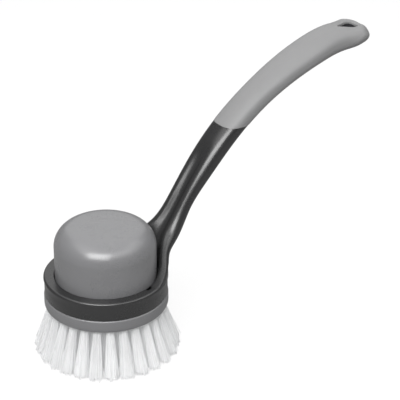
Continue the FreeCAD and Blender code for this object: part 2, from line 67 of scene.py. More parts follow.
# Turn of the dome's two keys and of their slots in the ring, from the handle to either side.
KEY_TURN = math.radians(72.0)
# Rounding of plain edges.
BROKEN_EDGE = 0.3 * MM
# Angle between faces from which an edge is shaded sharp.
SHARP_ANGLE = math.radians(50.0)

DOME_LOW, DOME_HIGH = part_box("palm_dome")
PLATE_LOW, PLATE_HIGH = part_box("tuft_plate")
FRAME_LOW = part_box("handle_frame")[0]
OUTER_TUFTS = [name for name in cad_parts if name.startswith("outer_tuft_")]


class BrushSizes(bpy.types.PropertyGroup):
    """Sizes that shape the visible pieces."""

    dome_radius: FloatProperty(
        name="Dome radius",
        description="Outside radius of the dome",
        default=27.1 * MM,
        unit="LENGTH",
    )
    dome_round: FloatProperty(
        name="Dome edge",
        description="Radius of the dome's rounded upper edge",
        default=11.2 * MM,
        unit="LENGTH",
    )
    dome_crown: FloatProperty(
        name="Dome crown",
        description="Rise of the dome's top above its edge",
        default=2.0 * MM,
        unit="LENGTH",
    )
    ring_bore: FloatProperty(
        name="Ring bore",
        description="Radius of the hole in the handle's ring",
        default=27.4 * MM,
        unit="LENGTH",
    )
    ring_radius: FloatProperty(
        name="Ring radius",
        description="Radius of the ring below its lip",
        default=32.75 * MM,
        unit="LENGTH",
    )
    ring_lip: FloatProperty(
        name="Ring lip",
        description="Overhang of the lip round the ring's top",
        default=0.4 * MM,
        unit="LENGTH",
    )
    ring_top: FloatProperty(
        name="Ring top",
        description="Height of the ring's upper face",
        default=43.9 * MM,
        unit="LENGTH",
    )
    hole_radius: FloatProperty(
        name="Hanging hole",
        description="Radius of the hanging hole's round end",
        default=4.1 * MM,
        unit="LENGTH",
    )
    hole_point: FloatProperty(
        name="Hole point",
        description="Distance from the hole's round centre to its point",
        default=9.2 * MM,
        unit="LENGTH",
    )
    filament: FloatProperty(
        name="Filament",
        description="Thickness of one bristle filament",
        default=0.3 * MM,
        unit="LENGTH",
    )


class BrushColours(bpy.types.PropertyGroup):
    """Colours of the finishes."""

    frame_plastic: FloatVectorProperty(
        name="Frame plastic",
        description="Dark plastic of ring and neck",
        subtype="COLOR",
        default=(0.02, 0.02, 0.0205),
    )
    grip_rubber: FloatVectorProperty(
        name="Grip rubber",
        description="Soft rubber of the grip",
        subtype="COLOR",
        default=(0.245, 0.245, 0.247),
    )
    head_plastic: FloatVectorProperty(
        name="Head plastic",
        description="Plastic of dome and tuft plate",
        subtype="COLOR",
        default=(0.19, 0.19, 0.196),
    )
    nylon: FloatVectorProperty(
        name="Nylon",
        description="Bristle filaments",
        subtype="COLOR",
        default=(0.93, 0.935, 0.94),
    )
    wire: FloatVectorProperty(
        name="Anchor wire",
        description="Wire that holds the tufts",
        subtype="COLOR",
        default=(0.6, 0.45, 0.2),
    )


class Value:
    """A number in a material's nodes; arithmetic on it adds Math nodes."""

    def __init__(self, finish, socket):
        self.finish = finish
        self.socket = socket

    def math(self, operation, first, second):
        return self.finish.node("ShaderNodeMath", {"operation": operation}, {0: first, 1: second})

    def __add__(self, other):
        return self.math("ADD", self, other)

    __radd__ = __add__

    def __mul__(self, other):
        return self.math("MULTIPLY", self, other)

    __rmul__ = __mul__

    def __sub__(self, other):
        return self.math("SUBTRACT", self, other)

    def __rsub__(self, other):
        return self.math("SUBTRACT", other, self)

    def clamped(self):
        return self.finish.node("ShaderNodeClamp", {}, {"Value": self})


class Finish:
    """A material and the nodes that make it."""

    def __init__(self, name):
        self.material = bpy.data.materials.new(name)
        self.material.use_nodes = True
        self.tree = self.material.node_tree
        self.tree.nodes.clear()
        self.place = self.node("ShaderNodeTexCoord", {}, {}, "Object")

    def node(self, kind, settings, sockets, output=0):
        """Adds a node: its settings first, then its sockets' values or links; gives one of its outputs."""
        made = self.tree.nodes.new(kind)
        for name, setting in settings.items():
            setattr(made, name, setting)
        for name, given in sockets.items():
            if isinstance(given, Value):
                self.tree.links.new(given.socket, made.inputs[name])
            else:
                made.inputs[name].default_value = given
        return Value(self, made.outputs[output])

    def noise(self, scale, detail=2.0, roughness=0.5, stretch=(1.0, 1.0, 1.0)):
        """Noise on the object's own coordinates, in waves per metre, drawn out along the axes by stretch."""
        where = self.node("ShaderNodeMapping", {}, {"Vector": self.place, "Scale": stretch})
        sockets = {"Vector": where, "Scale": scale, "Detail": detail, "Roughness": roughness}
        return self.node("ShaderNodeTexNoise", {}, sockets)

    def mix(self, factor, first, second):
        """A colour between two others."""
        return self.node("ShaderNodeMix", {"data_type": "RGBA"}, {0: factor, 6: first, 7: second}, 2)

    def bump(self, height, strength, distance):
        sockets = {"Height": height, "Strength": strength, "Distance": distance}
        return self.node("ShaderNodeBump", {}, sockets, "Normal")

    def surface(self, **sockets):
        """Ends the material in one principled shader; underscores stand for blanks in the sockets' names."""
        given = {name.replace("_", " "): value for name, value in sockets.items()}
        shader = self.node("ShaderNodeBsdfPrincipled", {}, given, "BSDF")
        self.node_output(shader)
        return self.material

    def node_output(self, shader):
        made = self.tree.nodes.new("ShaderNodeOutputMaterial")
        self.tree.links.new(shader.socket, made.inputs["Surface"])


def shade(colour, level):
    """A colour, opaque, made lighter or darker."""
    return tuple(channel * level for channel in colour) + (1.0,)


def satin_plastic(name, colour, roughness):
    """Moulded plastic: a faint, wide mottling, a satin gloss and a grain too fine to count."""
    finish = Finish(name)
    mottle = finish.noise(60.0, 3.0, 0.5)
    grain = finish.noise(2600.0, 2.0, 0.55)
    return finish.surface(
        Base_Color=finish.mix(mottle, shade(colour, 0.95), shade(colour, 1.05)),
        Roughness=roughness + (mottle - 0.5) * 0.06 + (grain - 0.5) * 0.04,
        Specular_IOR_Level=0.85,
        Normal=finish.bump(grain, 0.08, 0.00004),
    )


def soft_rubber(name, colour):
    """Soft-touch rubber: a dull, even surface with a very fine grain and a little handled shine."""
    finish = Finish(name)
    mottle = finish.noise(90.0, 3.0, 0.6)
    grain = finish.noise(3200.0, 2.0, 0.6)
    handled = finish.noise(35.0, 2.0, 0.5)
    return finish.surface(
        Base_Color=finish.mix(mottle, shade(colour, 0.95), shade(colour, 1.05)),
        Roughness=0.5 + (handled - 0.5) * 0.12 + (grain - 0.5) * 0.1,
        Specular_IOR_Level=0.5,
        Sheen_Weight=0.08,
        Sheen_Roughness=0.5,
        Normal=finish.bump(grain, 0.2, 0.00008),
    )


def nylon(name, colour):
    """Nylon filaments: each strand a little lighter or greyer than the next, with painted shade darkening it
    towards its root and a faint painted glow in its own tone.
    """
    finish = Finish(name)
    strand = finish.node("ShaderNodeAttribute", {"attribute_name": "strand"}, {}, "Fac")
    height = finish.node("ShaderNodeSeparateXYZ", {}, {"Vector": finish.place}, "Z")
    # Painted shade: the filaments are made darker towards their roots at the plate, standing in for the shade
    # that the tufts cast on one another there.
    root = finish.node("ShaderNodeMapRange", {}, {"Value": height, "From Min": 0.008, "From Max": 0.026})
    fleck = finish.noise(900.0, 2.0, 0.5, (1.0, 1.0, 0.15))
    tone = (strand * 0.75 + fleck * 0.25).clamped()
    pale = finish.mix(tone, shade(colour, 0.82), shade(colour, 1.03))
    return finish.surface(
        Base_Color=finish.mix(root * 0.2, pale, shade(colour, 0.6)),
        Roughness=0.42 + (fleck - 0.5) * 0.12,
        Subsurface_Weight=0.4,
        Subsurface_Radius=(1.0, 1.0, 1.0),
        Subsurface_Scale=0.002,
        # Painted light: a faint glow in the strands' own tone stands in for light that passes through the
        # nylon and bounces between the filaments.
        Emission_Color=pale,
        Emission_Strength=0.09,
    )


def drawn_wire(name, colour):
    """Drawn wire: bare metal with fine lines along it."""
    finish = Finish(name)
    lines = finish.noise(2200.0, 3.0, 0.6, (1.0, 0.1, 1.0))
    return finish.surface(
        Base_Color=finish.mix(lines, shade(colour, 0.8), shade(colour, 1.1)),
        Metallic=1.0,
        Roughness=0.3 + lines * 0.15,
        Normal=finish.bump(lines, 0.2, 0.00003),
    )


def make_piece(bm, name, material, body, nodes):
    """Turns a bmesh into a smooth shaded piece that rides on a body and stands for nodes."""
    mesh = bpy.data.meshes.new(name)
    bm.to_mesh(mesh)
    bm.free()
    mesh.shade_smooth()
    mesh.set_sharp_from_angle(angle=SHARP_ANGLE)
    mesh.materials.append(material)
    piece = bpy.data.objects.new(name, mesh)
    bpy.context.scene.collection.objects.link(piece)
    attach(piece, body)
    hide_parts(*nodes)


def outline(bm, corners, rounds):
    """Draws an outline of corners given by radius and height, each rounded by a radius in some steps.

    Gives the edges of the outline that are off the Z axis.
    """
    points = [bm.verts.new((radius, 0.0, height)) for radius, height in corners]
    bm.faces.new(points)
    for point, (size, segments) in zip(points, rounds):
        if size > 0:
            bmesh.ops.bevel(
                bm,
                geom=[point],
                affect="VERTICES",
                offset=size,
                offset_type="OFFSET",
                segments=segments,
                profile=0.5,
                material=-1,
            )
    bmesh.ops.delete(bm, geom=bm.faces[:], context="FACES_ONLY")
    return [edge for edge in bm.edges if max(abs(vert.co.x) for vert in edge.verts) > 1e-6]


def spin_full(bm, edges, steps):
    """Spins edges all the way round Z and closes the seam and the poles."""
    verts = list({vert for edge in edges for vert in edge.verts})
    bmesh.ops.spin(
        bm,
        geom=verts + list(edges),
        cent=(0, 0, 0),
        axis=(0, 0, 1),
        angle=2 * math.pi,
        steps=steps,
        use_merge=True,
        use_duplicate=False,
    )
    bmesh.ops.delete(bm, geom=[edge for edge in bm.edges if not edge.link_faces], context="EDGES")
    bmesh.ops.remove_doubles(bm, verts=bm.verts[:], dist=1e-6)
    bmesh.ops.recalc_face_normals(bm, faces=bm.faces[:])


def extruded(bm, edges):
    """Extrudes a loop of edges; gives the vertices and the edges of the new loop."""
    made = bmesh.ops.extrude_edge_only(bm, edges=edges)["geom"]
    verts = [part for part in made if isinstance(part, bmesh.types.BMVert)]
    return verts, [part for part in made if isinstance(part, bmesh.types.BMEdge) and part.is_boundary]


def spline(knots, values, places):
    """Natural cubic spline through values at knots, read at places."""
    knots, values, places = (np.asarray(given, float) for given in (knots, values, places))
    steps = np.diff(knots)
    slopes = np.diff(values) / steps
    count = len(knots)
    system = np.eye(count)
    wanted = np.zeros(count)
    for i in range(1, count - 1):
        system[i, i - 1 : i + 2] = steps[i - 1], 2 * (steps[i - 1] + steps[i]), steps[i]
        wanted[i] = 6 * (slopes[i] - slopes[i - 1])
    bends = np.linalg.solve(system, wanted)
    span = np.clip(np.searchsorted(knots, places) - 1, 0, count - 2)
    before = places - knots[span]
    after = knots[span + 1] - places
    return (
        (bends[span] * after ** 3 + bends[span + 1] * before ** 3) / (6 * steps[span])
        + (values[span] / steps[span] - bends[span] * steps[span] / 6) * after
        + (values[span + 1] / steps[span] - bends[span + 1] * steps[span] / 6) * before
    )


# Stations of the handle in millimetres: place along X, height, half width, thickness and dish;
# then the squareness and the bluntness of its section.
STATIONS = (
    (30.45, 43.9, 0.0, 5.4, 0.0, 8.0, 0.0),
    (31.0, 47.9, 17.6, 5.4, 5.8, 3.0, 0.9),
    (37.2, 55.6, 10.9, 8.0, 3.4, 2.4, 0.9),
    (48.775, 71.7, 8.2, 8.6, 1.6, 2.4, 0.2),
    (60.175, 86.5, 8.8, 10.3, 1.0, 2.4, 0.0),
    (76.775, 104.1, 9.3, 11.2, 0.2, 2.5, 0.0),
    (103.875, 123.7, 9.6, 11.4, 0.0, 2.5, 0.0),
    (136.475, 137.4, 10.8, 12.4, 0.0, 2.5, 0.0),
    (156.075, 140.35, 11.1, 12.5, 1.2, 2.4, 0.0),
    (165.175, 139.9, 10.6, 10.6, 4.3, 2.7, 0.0),
    (172.475, 142.4, 9.0, 9.6, 2.6, 2.8, 0.0),
)
# Length of the rounded tip in millimetres, and the squareness of its rounding in plan and from the side.
TIP_ROUND = 7.2
TIP_BREADTH = 2.6
TIP_FULLNESS = 2.8
# Station where neck and grip meet; lift in millimetres and slant of the plane in which they meet.
JUNCTION = 5
JUNCTION_LIFT = 1.5
JUNCTION_SLANT = math.radians(-2.0)
# Lengths of neck and grip past their junction in millimetres, which that plane trims.
NECK_SPARE = 16.0
GRIP_SPARE = 18.0
# How much the soft grip stands out from the neck all round, in millimetres.
GRIP_SWELL = 0.15
# Rounding of the grip's edge at the neck.
GRIP_EDGE = 0.45 * MM
# Loops along the neck, the grip and its tip, and points round the grip.
NECK_STEPS = 124
GRIP_STEPS = 110
TIP_STEPS = 18
GRIP_SIDES = 128
# Half arc of the neck's foot at distances up from the ring, in millimetres:
# it leaves the ring at a low slope.
FOOT = ((0.0, 35.0), (1.7, 27.8), (3.0, 23.3), (4.4, 19.6), (6.4, 16.2), (9.0, 13.8))
# Depth of the channel along the neck's upper side at distances from the ring, in millimetres.
CHANNEL = (
    (2.0, 0.0),
    (8.0, 0.5),
    (14.0, 1.3),
    (24.0, 2.1),
    (34.0, 2.3),
    (50.0, 2.1),
    (60.0, 1.5),
    (65.0, 0.5),
    (69.0, 0.0),
)
# Half of the channel's width as a share of the neck's.
CHANNEL_WIDTH = 0.82
# Shallow dip in the grip's upper side at the hanging hole's round end, in millimetres:
# its depth, its length and its distance past the last station but one.
HOLE_DIP = 1.3
HOLE_DIP_LENGTH = 4.0
HOLE_DIP_PLACE = 3.5
# Distance over which the handle's path starts to lean, and height over which
# the foot leaves the rounding of the ring's lip behind, in millimetres.
LEAN_EASE = 6.0
FOOT_EASE = 3.5
# Rounding of the ring's upper edges at its bore and at its lip.
BORE_EDGE = 0.35 * MM
LIP_EDGE = 1.2 * MM
# Cuts across the ring's upper face, from which the neck grows.
TOP_CUTS = 15
# Heights of the lip's upright side and of the whole lip, and the rounding under it.
LIP_SIDE = 1.4 * MM
LIP_HEIGHT = 3.4 * MM
LIP_HOLLOW = 1.2 * MM
# Half width and depth of the slots for the keys, and how far into the bore's wall they take hold.
SLOT_HALF = 1.9 * MM
SLOT_DEPTH = 1.8 * MM
SLOT_HOLD = 0.4 * MM
# Place along X past which the mesh of the frame is the neck's upper end.
NECK_UPPER_END = 50.0 * MM
# Place of the hanging hole's round centre along X, in millimetres.
HOLE_CENTRE = 164.0
# Points round the hanging hole, rounding of its point, rounding of its rim
# and width of the margin round the rim that is meshed anew.
HOLE_POINTS = 72
HOLE_NOSE = 0.7 * MM
HOLE_RIM = 0.6 * MM
HOLE_MARGIN = 1.0 * MM
# Distance from the hole's centre within which the grip is opened,
# and height above or below the grip's middle from which its faces are probed.
HOLE_REACH = 20.0 * MM
PROBE_HEIGHT = 50.0 * MM
# Groove in the hole's wall for the tang's eye: its depth and its distance from the grip's faces.
GROOVE_DEPTH = 0.9 * MM
GROOVE_DROP = 1.3 * MM
# Tang's eye: outsets of its inner and outer wall from the hole, and its distance from the grip's faces.
EYE_INNER = 0.2 * MM
EYE_OUTER = 0.8 * MM
EYE_DROP = 1.45 * MM


class HandleForm:
    """The handle's outside form: a rounded bar along an arched path, bent and channelled towards the head."""

    def __init__(self, ring_middle, ring_top):
        table = np.array(STATIONS)
        table[0, 0] = ring_middle / MM
        table[0, 1] = ring_top / MM
        self.table = table
        steps = np.hypot(np.diff(table[:, 0]), np.diff(table[:, 1]))
        self.reach = np.concatenate([[0.0], np.cumsum(steps)])
        widths, dishes = table[:, 2], table[:, 4]
        bends = 2 * dishes / np.maximum(widths ** 2 + dishes ** 2, 1e-9)
        bends[0] = 1 / table[0, 0]
        bent = np.arcsin(np.clip(widths * bends, 0, 1)) / np.maximum(bends, 1e-9)
        halves = np.where(bends > 1e-6, bent, widths)
        self.bends = bends
        foot_reach, foot_halves = np.array(FOOT).T
        self.half_reach = np.concatenate([foot_reach, self.reach[2:]])
        self.halves = np.concatenate([foot_halves, halves[2:]])
        self.length = self.reach[-1]

    def at(self, distances):
        """Stations at distances: centre, lean, half arc, thickness, bend, channel, squareness, bluntness."""
        distances = np.asarray(distances, float)
        x = spline(self.reach, self.table[:, 0], distances)
        z = spline(self.reach, self.table[:, 1], distances)
        tiny = 0.01
        dx = (spline(self.reach, self.table[:, 0], distances + tiny) - x) / tiny
        dz = (spline(self.reach, self.table[:, 1], distances + tiny) - z) / tiny
        lean = np.arctan2(dx, dz)
        eased = np.clip(distances / LEAN_EASE, 0, 1)
        lean = lean * eased * eased * (3 - 2 * eased)
        half = spline(np.sqrt(self.half_reach), self.halves, np.sqrt(np.maximum(distances, 0)))
        thick = spline(self.reach, self.table[:, 3], distances)
        bend = np.maximum(np.interp(distances, self.reach, self.bends), 0)
        channel_reach, channel_depth = np.array(CHANNEL).T
        inside = (distances > channel_reach[0]) & (distances < channel_reach[-1])
        channel = np.where(inside, np.maximum(spline(channel_reach, channel_depth, distances), 0), 0)
        past = (distances - self.reach[-2] - HOLE_DIP_PLACE) / HOLE_DIP_LENGTH
        channel += HOLE_DIP * np.exp(-(past ** 2))
        square = np.interp(distances, self.reach, self.table[:, 5])
        blunt = np.interp(distances, self.reach, self.table[:, 6])
        return list(zip(x, z, lean, half, thick, bend, channel, square, blunt))

    def point(self, station, across, upward, grown=0.0, breadth=1.0, fullness=1.0):
        """A point of the outline; across and upward run from -1 to 1 round a square."""
        x, z, lean, half, thick, bend, channel, square, blunt = station
        pull = (abs(across) ** square + abs(upward) ** square) ** (-1 / square)
        size = Vector((half + grown, thick / 2 + grown))
        squared = Vector((across, upward)) * pull * size
        corner = Vector((across, upward)) * size
        core = Vector((max(-1, min(1, across * size.x / (size.x - size.y))) * (size.x - size.y), 0.0))
        rounded = core + (corner - core).normalized() * size.y
        spot = squared.lerp(rounded, blunt)
        along = spot.x * breadth
        height = spot.y * fullness
        inward = abs(across * pull) / CHANNEL_WIDTH
        if upward > 0 and inward < 1:
            height -= channel * fullness * (1 - inward ** 2) ** 3
        bend = bend * fullness
        if bend > 1e-6:
            swing = along * bend
            side = (1 / bend - height) * math.sin(swing)
            rise = 1 / bend - (1 / bend - height) * math.cos(swing)
        else:
            side, rise = along, height
        normal = (-math.cos(lean), math.sin(lean))
        return Vector((x + normal[0] * rise, side, z + normal[1] * rise)) * MM

    def junction(self):
        """A point and the direction of the slanted plane in which neck and grip meet."""
        station = self.at([self.reach[JUNCTION]])[0]
        top = self.point(station, 0.0, 1.0) + Vector((0.0, 0.0, JUNCTION_LIFT * MM))
        return top, Vector((-math.sin(JUNCTION_SLANT), 0.0, math.cos(JUNCTION_SLANT)))


def handle_form(sizes):
    """The handle's form, starting in the middle of the ring's upper face."""
    middle = (sizes.ring_bore + BORE_EDGE + sizes.ring_radius + sizes.ring_lip) / 2
    return HandleForm(middle, sizes.ring_top)


def trim(bm, geom, form, **cleared):
    """Cuts a mesh in the plane where neck and grip meet and closes it; gives the edges of the cut."""
    spot, facing = form.junction()
    cut = bmesh.ops.bisect_plane(bm, geom=geom, dist=1e-7, plane_co=spot, plane_no=facing, **cleared)
    edges = [part for part in cut["geom_cut"] if isinstance(part, bmesh.types.BMEdge)]
    bmesh.ops.edgeloop_fill(bm, edges=edges)
    return edges


def grow(bm, edges, form, stations, **given):
    """Extrudes a loop of edges from station to station; its points keep their places on the square."""
    across_layer = bm.verts.layers.float["across"]
    upward_layer = bm.verts.layers.float["upward"]
    drop_layer = bm.verts.layers.float.get("drop")
    for station in stations:
        verts, edges = extruded(bm, edges)
        for vert in verts:
            vert.co = form.point(station, vert[across_layer], vert[upward_layer], **given)
            if drop_layer:
                risen = (station[1] - form.table[0, 1]) / FOOT_EASE
                vert.co.z -= vert[drop_layer] * max(0.0, 1.0 - risen) ** 2
    return edges


class BRUSH_OT_frame(bpy.types.Operator):
    """Models the dark ring and the neck that grows out of it"""

    bl_idname = "brush.frame"
    bl_label = "Ring and neck"

    def execute(self, context):
        sizes = context.scene.brush_sizes
        form = handle_form(sizes)
        bm = bmesh.new()
        across_layer = bm.verts.layers.float.new("across")
        upward_layer = bm.verts.layers.float.new("upward")
        drop_layer = bm.verts.layers.float.new("drop")
        floor = FRAME_LOW.z
        top = sizes.ring_top
        rim = sizes.ring_radius + sizes.ring_lip
        corners = [
            (sizes.ring_bore, floor),
            (sizes.ring_radius, floor),
            (sizes.ring_radius, top - LIP_HEIGHT),
            (rim, top - LIP_SIDE),
            (rim, top),
            (sizes.ring_bore, top),
        ]
        plain = (BROKEN_EDGE, 2)
        rounds = [plain, plain, (LIP_HOLLOW, 4), (0.0, 0), (LIP_EDGE, 6), (BORE_EDGE, 3)]
        edges = outline(bm, corners, rounds)
        levels = {edge: min(vert.co.z for vert in edge.verts) for edge in edges}
        highest = max(edges, key=lambda edge: levels[edge] * 1000 + edge.calc_length())
        bmesh.ops.subdivide_edges(bm, edges=[highest], cuts=TOP_CUTS)
        spin_full(bm, bm.edges[:], TURN_STEPS)

        inner = sizes.ring_bore + BORE_EDGE
        middle = (inner + rim) / 2
        wall = (rim - inner) / 2
        sector = FOOT[0][1] / STATIONS[0][0]
        step = 2 * math.pi / TURN_STEPS
        sector = round(sector / step) * step

        def on_top(face):
            spot = face.calc_center_median()
            high = all(vert.co.z > top - LIP_EDGE - 1e-6 for vert in face.verts)
            outside = all(math.hypot(vert.co.x, vert.co.y) > inner - 1e-6 for vert in face.verts)
            return high and outside and abs(math.atan2(spot.y, spot.x)) < sector

        opened = [face for face in bm.faces if on_top(face)]
        bmesh.ops.delete(bm, geom=opened, context="FACES")
        foot = [edge for edge in bm.edges if edge.is_boundary]
        for vert in {vert for edge in foot for vert in edge.verts}:
            vert[across_layer] = math.atan2(vert.co.y, vert.co.x) / sector
            vert[upward_layer] = (middle - math.hypot(vert.co.x, vert.co.y)) / wall
            vert[drop_layer] = top - vert.co.z
        roots = np.linspace(0.0, math.sqrt(form.reach[JUNCTION] + NECK_SPARE), NECK_STEPS)[1:]
        grow(bm, foot, form, form.at(roots ** 2))
        for side in (-1, 1):
            self.slot(bm, sizes, KEY_TURN * side)
        everything = bm.verts[:] + bm.edges[:] + bm.faces[:]
        trim(bm, [part for part in everything if self.beyond(part)], form, clear_outer=True)
        bmesh.ops.recalc_face_normals(bm, faces=bm.faces[:])
        colours = context.scene.brush_colours
        material = satin_plastic("frame_plastic", colours.frame_plastic, 0.28)
        make_piece(bm, "ring_and_neck", material, "handle", ["handle_frame"])
        return {"FINISHED"}

    def slot(self, bm, sizes, turn):
        """Sinks a part of the bore's wall to make the slot for one of the dome's keys."""
        for vert in bm.verts:
            out = math.hypot(vert.co.x, vert.co.y)
            aside = abs(math.atan2(vert.co.y, vert.co.x) - turn) * sizes.ring_bore
            in_wall = vert.co.z < sizes.ring_top + 1e-5 and out < sizes.ring_bore + SLOT_HOLD
            if in_wall and aside < SLOT_HALF:
                vert.co.x *= (out + SLOT_DEPTH) / out
                vert.co.y *= (out + SLOT_DEPTH) / out

    def beyond(self, part):
        """Whether a part of the mesh belongs to the neck's upper end."""
        spots = [part] if isinstance(part, bmesh.types.BMVert) else part.verts
        return all(vert.co.x > NECK_UPPER_END for vert in spots)


def teardrop(sizes, outset):
    """Points of the hanging hole's outline, drawn out by outset: a teardrop that points to the head."""
    small = HOLE_NOSE
    gap = sizes.hole_point - small
    lean = math.acos((sizes.hole_radius - small) / gap)
    big_round = (math.pi - lean) * (sizes.hole_radius + outset)
    side = gap * math.sin(lean)
    half = big_round + side + lean * (small + outset)
    points = []
    for place in np.linspace(0, 2 * half, HOLE_POINTS, endpoint=False):
        mirror = 1 if place <= half else -1
        along = min(place, 2 * half - place)
        if along < big_round:
            angle = along / (sizes.hole_radius + outset)
            spot = Vector((math.cos(angle), math.sin(angle))) * (sizes.hole_radius + outset)
        elif along < big_round + side:
            facing = Vector((math.cos(math.pi - lean), math.sin(math.pi - lean)))
            spot = facing * (sizes.hole_radius + outset)
            spot += Vector((-facing.y, facing.x)) * (along - big_round)
        else:
            angle = math.pi - lean + (along - big_round - side) / (small + outset)
            spot = Vector((-gap, 0)) + Vector((math.cos(angle), math.sin(angle))) * (small + outset)
        points.append(Vector((HOLE_CENTRE * MM + spot.x, spot.y * mirror)))
    return points


def heights_at(surface, points, level, side):
    """Heights of a surface at points, met from above for side 1 and from below for side -1."""
    way = Vector((0, 0, -side))
    starts = [Vector((spot.x, spot.y, level + side * PROBE_HEIGHT)) for spot in points]
    return [surface.ray_cast(start, way)[0].z for start in starts]


def lay(verts, layer, points, heights, drop):
    """Lays the vertices of a loop round the hanging hole on its points, at heights less a drop."""
    for vert in verts:
        place = vert[layer]
        vert.co = (points[place].x, points[place].y, heights[place] - drop)


class BRUSH_OT_grip(bpy.types.Operator):
    """Models the soft grip with its blunt tip and hanging hole"""

    bl_idname = "brush.grip"
    bl_label = "Soft grip"

    def execute(self, context):
        sizes = context.scene.brush_sizes
        form = handle_form(sizes)
        bm = bmesh.new()
        across_layer = bm.verts.layers.float.new("across")
        upward_layer = bm.verts.layers.float.new("upward")
        bmesh.ops.create_circle(bm, cap_ends=False, segments=GRIP_SIDES, radius=1.0)
        for vert in bm.verts:
            widest = max(abs(vert.co.x), abs(vert.co.y))
            vert[across_layer] = vert.co.x / widest
            vert[upward_layer] = vert.co.y / widest
        start = form.reach[JUNCTION] - GRIP_SPARE
        end = form.length - TIP_ROUND
        stations = form.at(np.linspace(start, end, GRIP_STEPS))
        swell = {"grown": GRIP_SWELL}
        for vert in bm.verts:
            vert.co = form.point(stations[0], vert[across_layer], vert[upward_layer], **swell)
        edges = grow(bm, bm.edges[:], form, stations[1:], **swell)
        for share in np.sin(np.linspace(0, math.pi / 2, TIP_STEPS))[1:-1]:
            breadth = (1 - share ** TIP_BREADTH) ** (1 / TIP_BREADTH)
            fullness = (1 - share ** TIP_FULLNESS) ** (1 / TIP_FULLNESS)
            station = form.at([end + TIP_ROUND * share])
            edges = grow(bm, edges, form, station, breadth=breadth, fullness=fullness, **swell)
        bmesh.ops.edgeloop_fill(bm, edges=edges)
        rim = trim(bm, bm.verts[:] + bm.edges[:] + bm.faces[:], form, clear_inner=True)
        bmesh.ops.bevel(
            bm,
            geom=rim,
            affect="EDGES",
            offset=GRIP_EDGE,
            segments=3,
            profile=0.5,
            material=-1,
            clamp_overlap=True,
        )
        bmesh.ops.recalc_face_normals(bm, faces=bm.faces[:])
        self.pierce(bm, sizes, form)
        material = soft_rubber("grip_rubber", context.scene.brush_colours.grip_rubber)
        make_piece(bm, "soft_grip", material, "handle", ["grip_sleeve"])
        return {"FINISHED"}

    def pierce(self, bm, sizes, form):
        """Opens the hanging hole: a rounded rim above and below, between them a groove for the eye."""
        layer = bm.verts.layers.int.new("place")
        surface = BVHTree.FromBMesh(bm)
        level = form.table[-2, 1] * MM
        margin = teardrop(sizes, HOLE_RIM + HOLE_MARGIN)

        def lid(face, side):
            spot = face.calc_center_median()
            if side * (spot.z - level) <= 0 or abs(spot.x - HOLE_CENTRE * MM) >= HOLE_REACH:
                return False
            turns = 0.0
            for first, second in zip(margin, margin[1:] + margin[:1]):
                turns += (first - spot.xy).angle_signed(second - spot.xy)
            return abs(turns) > math.pi

        bows = np.linspace(0, math.pi / 2, 6)[1:]
        profile = [(HOLE_RIM * (1 - math.sin(bow)), HOLE_RIM * (1 - math.cos(bow))) for bow in bows]
        profile += [(0.0, GROOVE_DROP), (GROOVE_DEPTH, GROOVE_DROP)]
        walls = []
        for side in (1, -1):
            bmesh.ops.delete(bm, geom=[face for face in bm.faces if lid(face, side)], context="FACES")
            opening = [edge for edge in bm.edges if edge.is_boundary and edge not in walls]
            verts = bmesh.ops.create_circle(bm, cap_ends=False, segments=HOLE_POINTS, radius=MM)["verts"]
            for place, vert in enumerate(verts):
                vert[layer] = place
            points = teardrop(sizes, HOLE_RIM)
            heights = heights_at(surface, points, level, side)
            lay(verts, layer, points, heights, 0.0)
            edges = list({edge for vert in verts for edge in vert.link_edges})
            bmesh.ops.bridge_loops(bm, edges=opening + edges)
            for outset, drop in profile:
                verts, edges = extruded(bm, edges)
                lay(verts, layer, teardrop(sizes, outset), heights, side * drop)
            walls += edges
        bmesh.ops.bridge_loops(bm, edges=walls)
        bmesh.ops.recalc_face_normals(bm, faces=bm.faces[:])


class BRUSH_OT_eye(bpy.types.Operator):
    """Models the dark eye of the tang, seen inside the hanging hole"""

    bl_idname = "brush.eye"
    bl_label = "Tang eye"

    def execute(self, context):
        sizes = context.scene.brush_sizes
        level = handle_form(sizes).table[-2, 1] * MM
        grip = bmesh.new()
        grip.from_mesh(bpy.data.objects["soft_grip"].data)
        surface = BVHTree.FromBMesh(grip)
        grip.free()
        mouth = teardrop(sizes, EYE_OUTER)
        bm = bmesh.new()
        layer = bm.verts.layers.int.new("place")
        verts = bmesh.ops.create_circle(bm, cap_ends=False, segments=HOLE_POINTS, radius=MM)["verts"]
        for place, vert in enumerate(verts):
            vert[layer] = place
        edges = first = bm.edges[:]
        section = ((EYE_INNER, 1), (EYE_OUTER, 1), (EYE_OUTER, -1), (EYE_INNER, -1))
        for step, (outset, side) in enumerate(section):
            if step:
                verts, edges = extruded(bm, edges)
            heights = heights_at(surface, mouth, level, side)
            lay(verts, layer, teardrop(sizes, outset), heights, side * EYE_DROP)
        bmesh.ops.bridge_loops(bm, edges=first + edges)
        bmesh.ops.recalc_face_normals(bm, faces=bm.faces[:])
        material = bpy.data.materials["frame_plastic"]
        make_piece(bm, "tang_eye", material, "handle", ["handle_frame"])
        return {"FINISHED"}


